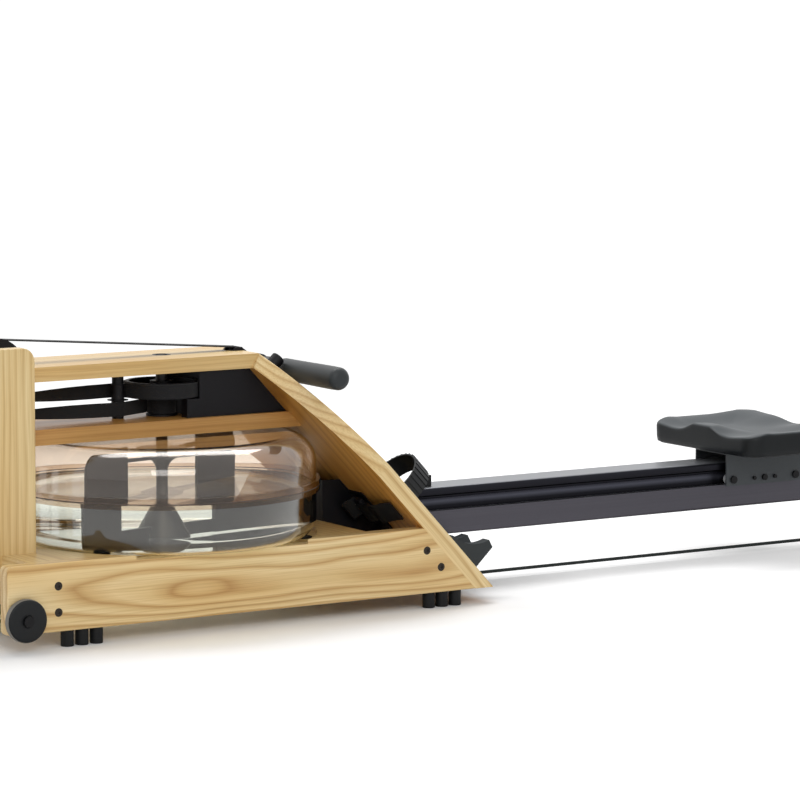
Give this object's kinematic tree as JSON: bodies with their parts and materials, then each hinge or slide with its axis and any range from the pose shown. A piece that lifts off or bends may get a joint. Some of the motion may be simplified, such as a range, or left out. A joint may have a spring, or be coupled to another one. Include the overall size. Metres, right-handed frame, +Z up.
{
  "type": "rowing machine",
  "caption": "Water-resistance rowing machine: ash frame, round clear tank with paddle, strap drive, pull handle, footrests and a seat that slides on one rail.",
  "frame": {"origin": "middle of the machine's length and width, on the floor", "axes": "+X along the machine towards the seat's far end, +Y the rower's right, +Z up"},
  "size_m": [2.12, 0.54, 0.4916],
  "materials": {
    "ash_wood": "clear satin lacquer over pale ash",
    "black_rubber": "matt",
    "black_plastic": "satin",
    "dark_steel": "black oxide",
    "black_paint": "satin powder coat",
    "clear_tank": "clear",
    "smoked_tank": "smoked clear",
    "paddle_steel": "dark brushed",
    "black_aluminium": "black anodised",
    "black_webbing": "woven",
    "grip_rubber": "matt foam sleeve",
    "seat_foam": "satin moulded foam"
  },
  "bodies": {
    "frame": {"base_rail_left": "ash_wood", "base_rail_right": "ash_wood", "cord_anchor": "black_plastic", "cord_pulley_bracket": "black_paint", "drive_strap": "black_webbing", "foot_strap_left": "black_webbing", "foot_strap_right": "black_webbing", "footboard": "ash_wood", "footplate_left": "black_plastic", "footplate_right": "black_plastic", "frame_screws": "dark_steel", "front_plank": "ash_wood", "front_post_left": "ash_wood", "front_post_right": "ash_wood", "guide_housing": "black_plastic", "guide_post": "dark_steel", "handle_pegs": "black_plastic", "leg_bracket": "black_paint", "mid_deck": "ash_wood", "monorail": "black_aluminium", "monorail_bolts": "dark_steel", "monorail_bracket": "black_paint", "pulley_axles": "dark_steel", "rear_leg": "ash_wood", "rear_plank": "ash_wood", "recoil_cord": "black_webbing", "recoil_strap": "black_webbing", "rubber_feet": "black_rubber", "seat_stops": "black_rubber", "shaft_bearings": "black_plastic", "strap_guide": "black_plastic", "tank_bowl": "clear_tank", "tank_gasket": "black_rubber", "tank_lid": "smoked_tank", "tank_pads": "black_rubber", "top_deck": "ash_wood", "wheel_bolts": "dark_steel"},
    "seat": {"seat_carriage": "black_paint", "seat_bolts": "dark_steel", "seat_pad": "seat_foam"},
    "seat_wheels_front": {"seat_rollers_front": "black_plastic"},
    "seat_wheels_rear": {"seat_rollers_rear": "black_plastic"},
    "handle": {"handle_bar": "black_paint", "handle_grip_left": "grip_rubber", "handle_grip_right": "grip_rubber", "strap_tail": "black_webbing"},
    "drum": {"drive_drum": "black_plastic"},
    "front_wheel": {"front_pulley": "black_plastic"},
    "recoil_wheel": {"recoil_pulley": "black_plastic"},
    "cord_wheel": {"cord_pulley": "black_plastic"},
    "guide_wheel": {"guide_roller": "black_plastic"},
    "strap_wheel": {"strap_roller": "black_plastic"},
    "paddle": {"paddle": "paddle_steel"},
    "plug": {"fill_plug": "black_plastic"},
    "wheel_left": {"transport_wheel_left": "black_plastic"},
    "wheel_right": {"transport_wheel_right": "black_plastic"},
    "heel_left": {"heel_cup_left": "black_plastic"},
    "heel_right": {"heel_cup_right": "black_plastic"}
  },
  "joints": [
    {"name": "seat_slide", "type": "slide", "parent": "frame", "child": "seat", "axis": [1, 0, 0], "range_m": [-0.634, 0.293]},
    {"name": "seat_wheels_front_spin", "type": "hinge", "parent": "seat", "child": "seat_wheels_front", "pos_m": [0.5395, 0, 0.1497], "axis": [0, 1, 0], "range_deg": [-3911, 1810.1]},
    {"name": "seat_wheels_rear_spin", "type": "hinge", "parent": "seat", "child": "seat_wheels_rear", "pos_m": [0.6845, 0, 0.1497], "axis": [0, 1, 0], "range_deg": [-3911, 1810.1]},
    {"name": "handle_pull", "type": "slide", "parent": "frame", "child": "handle", "axis": [0.9945, 0, 0.1045], "range_m": [0, 1.2]},
    {"name": "drum_spin", "type": "hinge", "parent": "frame", "child": "drum", "pos_m": [-0.649, 0, 0.375], "axis": [0, 0, 1], "range_deg": [-1056.3, 5]},
    {"name": "front_pulley_spin", "type": "hinge", "parent": "frame", "child": "front_wheel", "pos_m": [-0.971, 0, 0.438], "axis": [0, 1, 0], "range_deg": [-5, 1353.1]},
    {"name": "recoil_pulley_spin", "type": "hinge", "parent": "frame", "child": "recoil_wheel", "pos_m": [-0.994, 0, 0.337], "axis": [0, 1, 0], "range_deg": [-5, 1074.6]},
    {"name": "cord_pulley_spin", "type": "hinge", "parent": "frame", "child": "cord_wheel", "pos_m": [-0.994, 0, 0.0395], "axis": [0, 1, 0], "range_deg": [-5, 989]},
    {"name": "guide_roller_spin", "type": "hinge", "parent": "frame", "child": "guide_wheel", "pos_m": [-0.734, 0, 0.342], "axis": [0, 0, 1], "range_deg": [-5, 5549.8]},
    {"name": "strap_roller_spin", "type": "hinge", "parent": "frame", "child": "strap_wheel", "pos_m": [-0.503, 0, 0.439], "axis": [0, 1, 0], "range_deg": [-5, 5549.8]},
    {"name": "paddle_spin", "type": "hinge", "parent": "frame", "child": "paddle", "pos_m": [-0.649, 0, 0.1355], "axis": [0, 0, 1], "continuous": true},
    {"name": "plug_lift", "type": "slide", "parent": "frame", "child": "plug", "axis": [0, 0, 1], "range_m": [0, 0.04]},
    {"name": "wheel_left_spin", "type": "hinge", "parent": "frame", "child": "wheel_left", "pos_m": [-1.024, -0.207, 0.052], "axis": [0, 1, 0], "continuous": true},
    {"name": "wheel_right_spin", "type": "hinge", "parent": "frame", "child": "wheel_right", "pos_m": [-1.024, 0.207, 0.052], "axis": [0, 1, 0], "continuous": true},
    {"name": "heel_left_slide", "type": "slide", "parent": "frame", "child": "heel_left", "axis": [-0.6845, 0, 0.729], "range_m": [0, 0.05]},
    {"name": "heel_right_slide", "type": "slide", "parent": "frame", "child": "heel_right", "axis": [-0.6845, 0, 0.729], "range_m": [0, 0.05]}
  ],
  "couplings": [
    {"joint": "drum_spin", "follows": "handle_pull", "rad_per_m": -15.29},
    {"joint": "front_pulley_spin", "follows": "handle_pull", "rad_per_m": 19.608},
    {"joint": "recoil_pulley_spin", "follows": "handle_pull", "rad_per_m": 15.556},
    {"joint": "cord_pulley_spin", "follows": "handle_pull", "rad_per_m": 14.312},
    {"joint": "guide_roller_spin", "follows": "handle_pull", "rad_per_m": 80.645},
    {"joint": "strap_roller_spin", "follows": "handle_pull", "rad_per_m": 80.645},
    {"joint": "seat_wheels_front_spin", "follows": "seat_slide", "rad_per_m": 107.53},
    {"joint": "seat_wheels_rear_spin", "follows": "seat_slide", "rad_per_m": 107.53}
  ]
}
